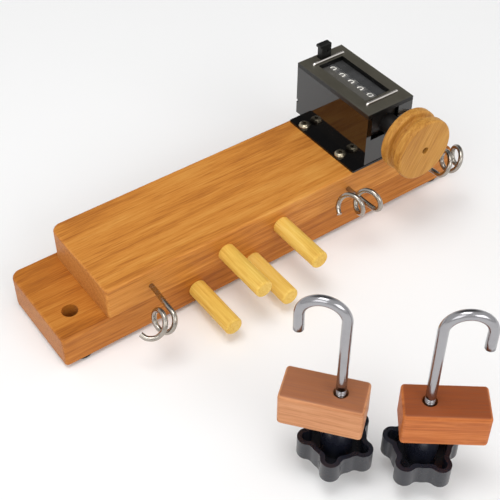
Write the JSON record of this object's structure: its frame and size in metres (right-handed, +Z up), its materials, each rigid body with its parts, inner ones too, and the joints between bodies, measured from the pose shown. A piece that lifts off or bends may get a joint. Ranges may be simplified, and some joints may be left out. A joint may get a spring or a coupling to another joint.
{
  "type": "warping yardage counter",
  "caption": "Wooden board with wire yarn guides and tension pegs, a grooved measuring wheel driving a mechanical counter, and hook clamps that hold it to a loom.",
  "frame": {"origin": "centre of the base board's underside", "axes": "+X along the boards towards the counter, front edge with the pegs faces -Y, +Z up"},
  "size_m": [0.262, 0.2348, 0.112],
  "materials": {
    "board_wood": "satin varnish",
    "peg_wood": "satin varnish",
    "wheel_wood": "satin varnish",
    "guide_wire": "bright nickel plated wire",
    "screw_steel": "zinc plated",
    "rubber": "matt",
    "case_paint": "gloss black enamel",
    "bezel_black": "satin",
    "chrome_wire": "polished",
    "pane": "clear",
    "display_plate": "matt dark",
    "frame_zinc": "zinc plated",
    "shaft_steel": "ground",
    "bronze": "sintered",
    "collar_black": "black oxide",
    "drum_black": "moulded",
    "pinion_white": "moulded",
    "key_plastic": "moulded",
    "rod_steel": "bright drawn",
    "knob_plastic": "satin moulded",
    "left_block_wood": "oiled",
    "right_block_wood": "oiled"
  },
  "bodies": {
    "board": {"base_board": "board_wood", "top_board": "board_wood", "board_screws": "screw_steel", "rubber_feet": "rubber", "tension_peg_1": "peg_wood", "tension_peg_2": "peg_wood", "tension_peg_3": "peg_wood", "tension_peg_4": "peg_wood", "thread_guide_left": "guide_wire", "thread_guide_middle": "guide_wire", "thread_guide_right": "guide_wire", "counter_base_plate": "case_paint", "mounting_screws": "screw_steel", "counter_case": "case_paint", "rear_cover": "case_paint", "rear_cover_screws": "screw_steel", "counter_bezel": "bezel_black", "window_wires": "chrome_wire", "window_pane": "pane", "display_plate": "display_plate", "inner_frame": "frame_zinc", "bearing_housing": "bezel_black", "shaft_bush": "bronze", "pinion_pin": "shaft_steel", "reset_spring": "shaft_steel"},
    "measuring_wheel": {"measuring_wheel": "wheel_wood", "drive_shaft": "shaft_steel", "shaft_collar": "collar_black", "set_screw": "screw_steel", "retaining_clip": "shaft_steel", "drive_disc": "frame_zinc"},
    "number_wheel_1": {"number_wheel_1": "drum_black"},
    "number_wheel_2": {"number_wheel_2": "drum_black"},
    "number_wheel_3": {"number_wheel_3": "drum_black"},
    "number_wheel_4": {"number_wheel_4": "drum_black"},
    "number_wheel_5": {"number_wheel_5": "drum_black"},
    "transfer_pinion_1": {"transfer_pinion_1": "pinion_white"},
    "transfer_pinion_2": {"transfer_pinion_2": "pinion_white"},
    "transfer_pinion_3": {"transfer_pinion_3": "pinion_white"},
    "transfer_pinion_4": {"transfer_pinion_4": "pinion_white"},
    "reset_key": {"reset_key": "key_plastic"},
    "hammer_bar": {"hammer_bar": "frame_zinc"},
    "left_hook": {"left_j_hook": "rod_steel"},
    "left_washer": {"left_clamp_washer": "screw_steel"},
    "left_knob": {"left_star_knob": "knob_plastic", "left_knob_insert": "bronze"},
    "left_block": {"left_clamp_block": "left_block_wood"},
    "right_hook": {"right_j_hook": "rod_steel"},
    "right_washer": {"right_clamp_washer": "screw_steel"},
    "right_knob": {"right_star_knob": "knob_plastic", "right_knob_insert": "bronze"},
    "right_block": {"right_clamp_block": "right_block_wood"}
  },
  "joints": [
    {"name": "measuring_wheel_spin", "type": "hinge", "parent": "board", "child": "measuring_wheel", "pos_m": [0.0761, -0.0507, 0.0615], "axis": [0, 1, 0], "continuous": true},
    {"name": "number_wheel_1_spin", "type": "hinge", "parent": "board", "child": "number_wheel_1", "pos_m": [0.0761, -0.0112, 0.0615], "axis": [0, 1, 0], "continuous": true},
    {"name": "number_wheel_2_spin", "type": "hinge", "parent": "board", "child": "number_wheel_2", "pos_m": [0.0761, -0.00328, 0.0615], "axis": [0, 1, 0], "continuous": true},
    {"name": "number_wheel_3_spin", "type": "hinge", "parent": "board", "child": "number_wheel_3", "pos_m": [0.0761, 0.00464, 0.0615], "axis": [0, 1, 0], "continuous": true},
    {"name": "number_wheel_4_spin", "type": "hinge", "parent": "board", "child": "number_wheel_4", "pos_m": [0.0761, 0.01256, 0.0615], "axis": [0, 1, 0], "continuous": true},
    {"name": "number_wheel_5_spin", "type": "hinge", "parent": "board", "child": "number_wheel_5", "pos_m": [0.0761, 0.02048, 0.0615], "axis": [0, 1, 0], "continuous": true},
    {"name": "transfer_pinion_1_spin", "type": "hinge", "parent": "board", "child": "transfer_pinion_1", "pos_m": [0.0669, -0.00724, 0.0551], "axis": [0, 1, 0], "continuous": true},
    {"name": "transfer_pinion_2_spin", "type": "hinge", "parent": "board", "child": "transfer_pinion_2", "pos_m": [0.0669, 0.00068, 0.0551], "axis": [0, 1, 0], "continuous": true},
    {"name": "transfer_pinion_3_spin", "type": "hinge", "parent": "board", "child": "transfer_pinion_3", "pos_m": [0.0669, 0.0086, 0.0551], "axis": [0, 1, 0], "continuous": true},
    {"name": "transfer_pinion_4_spin", "type": "hinge", "parent": "board", "child": "transfer_pinion_4", "pos_m": [0.0669, 0.01652, 0.0551], "axis": [0, 1, 0], "continuous": true},
    {"name": "reset_key_press", "type": "slide", "parent": "board", "child": "reset_key", "axis": [0, 0, -1], "range_m": [0, 0.004], "stiffness_N_per_m": 300, "springref_m": -0.001, "deforming": ["reset_spring"]},
    {"name": "hammer_bar_turn", "type": "hinge", "parent": "board", "child": "hammer_bar", "pos_m": [0.0857, 0.0056, 0.0525], "axis": [0, -1, 0], "range_deg": [0, 24.1]},
    {"name": "left_clamp_lift", "type": "slide", "parent": "board", "child": "left_hook", "axis": [0, 0, 1], "range_m": [0, 0.15]},
    {"name": "left_washer_rise", "type": "slide", "parent": "left_hook", "child": "left_washer", "axis": [0, 0, 1], "range_m": [0, 0.0127]},
    {"name": "left_knob_turn", "type": "hinge", "parent": "left_washer", "child": "left_knob", "pos_m": [-0.0579, -0.153, 0], "axis": [0, 0, 1], "range_deg": [0, 4320]},
    {"name": "left_block_slide", "type": "slide", "parent": "left_washer", "child": "left_block", "axis": [0, 0, 1], "range_m": [0, 0.02]},
    {"name": "right_clamp_lift", "type": "slide", "parent": "board", "child": "right_hook", "axis": [0, 0, 1], "range_m": [0, 0.15]},
    {"name": "right_washer_rise", "type": "slide", "parent": "right_hook", "child": "right_washer", "axis": [0, 0, 1], "range_m": [0, 0.0127]},
    {"name": "right_knob_turn", "type": "hinge", "parent": "right_washer", "child": "right_knob", "pos_m": [-0.0298, -0.1786, 0], "axis": [0, 0, 1], "range_deg": [0, 4320]},
    {"name": "right_block_slide", "type": "slide", "parent": "right_washer", "child": "right_block", "axis": [0, 0, 1], "range_m": [0, 0.02]}
  ],
  "couplings": [
    {"joint": "number_wheel_1_spin", "follows": "measuring_wheel_spin", "ratio": 1},
    {"joint": "number_wheel_2_spin", "follows": "measuring_wheel_spin", "ratio": 0.1},
    {"joint": "number_wheel_3_spin", "follows": "measuring_wheel_spin", "ratio": 0.01},
    {"joint": "number_wheel_4_spin", "follows": "measuring_wheel_spin", "ratio": 0.001},
    {"joint": "number_wheel_5_spin", "follows": "measuring_wheel_spin", "ratio": 0.0001},
    {"joint": "transfer_pinion_1_spin", "follows": "measuring_wheel_spin", "ratio": -0.25},
    {"joint": "transfer_pinion_2_spin", "follows": "measuring_wheel_spin", "ratio": -0.025},
    {"joint": "transfer_pinion_3_spin", "follows": "measuring_wheel_spin", "ratio": -0.0025},
    {"joint": "transfer_pinion_4_spin", "follows": "measuring_wheel_spin", "ratio": -0.00025},
    {"joint": "hammer_bar_turn", "follows": "reset_key_press", "rad_per_m": 104.72},
    {"joint": "left_knob_turn", "follows": "left_washer_rise", "rad_per_m": 5936.9},
    {"joint": "right_knob_turn", "follows": "right_washer_rise", "rad_per_m": 5936.9}
  ]
}
